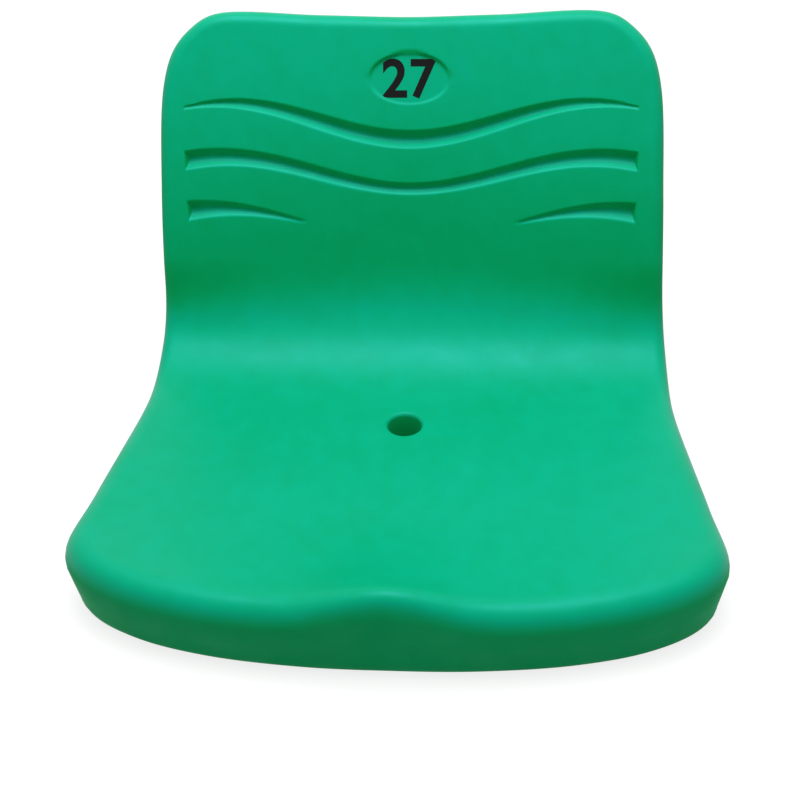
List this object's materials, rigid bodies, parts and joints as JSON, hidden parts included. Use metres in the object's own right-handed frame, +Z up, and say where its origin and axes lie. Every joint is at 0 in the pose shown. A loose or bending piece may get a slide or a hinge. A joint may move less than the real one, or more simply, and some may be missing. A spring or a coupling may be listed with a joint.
{
  "type": "stadium seat",
  "caption": "Low-backed stadium seat: a hollow blow-moulded shell with a rounded lip, a drain hole, moulded waves and an oval number recess, bolted down from below.",
  "frame": {"origin": "under the middle of the seat, in the plane that its front lip and two rear feet stand on", "axes": "+Z up; the sitter faces -Y; +X is to the right of someone who looks at the seat from the front"},
  "size_m": [0.4306, 0.3886, 0.2766],
  "materials": {
    "shell_plastic": "satin, blow-moulded polyethylene",
    "plug_plastic": "satin",
    "insert_brass": "turned",
    "zinc_steel": "zinc plated"
  },
  "bodies": {
    "root": {"seat_shell": "shell_plastic", "blow_hole_plug": "plug_plastic", "insert_front_left": "insert_brass", "insert_front_right": "insert_brass", "insert_rear_left": "insert_brass", "insert_rear_right": "insert_brass", "washer_front_left": "zinc_steel", "washer_front_right": "zinc_steel", "washer_rear_left": "zinc_steel", "washer_rear_right": "zinc_steel", "spring_washer_front_left": "zinc_steel", "spring_washer_front_right": "zinc_steel", "spring_washer_rear_left": "zinc_steel", "spring_washer_rear_right": "zinc_steel", "bolt_front_left": "zinc_steel", "bolt_front_right": "zinc_steel", "bolt_rear_left": "zinc_steel", "bolt_rear_right": "zinc_steel"}
  },
  "joints": []
}
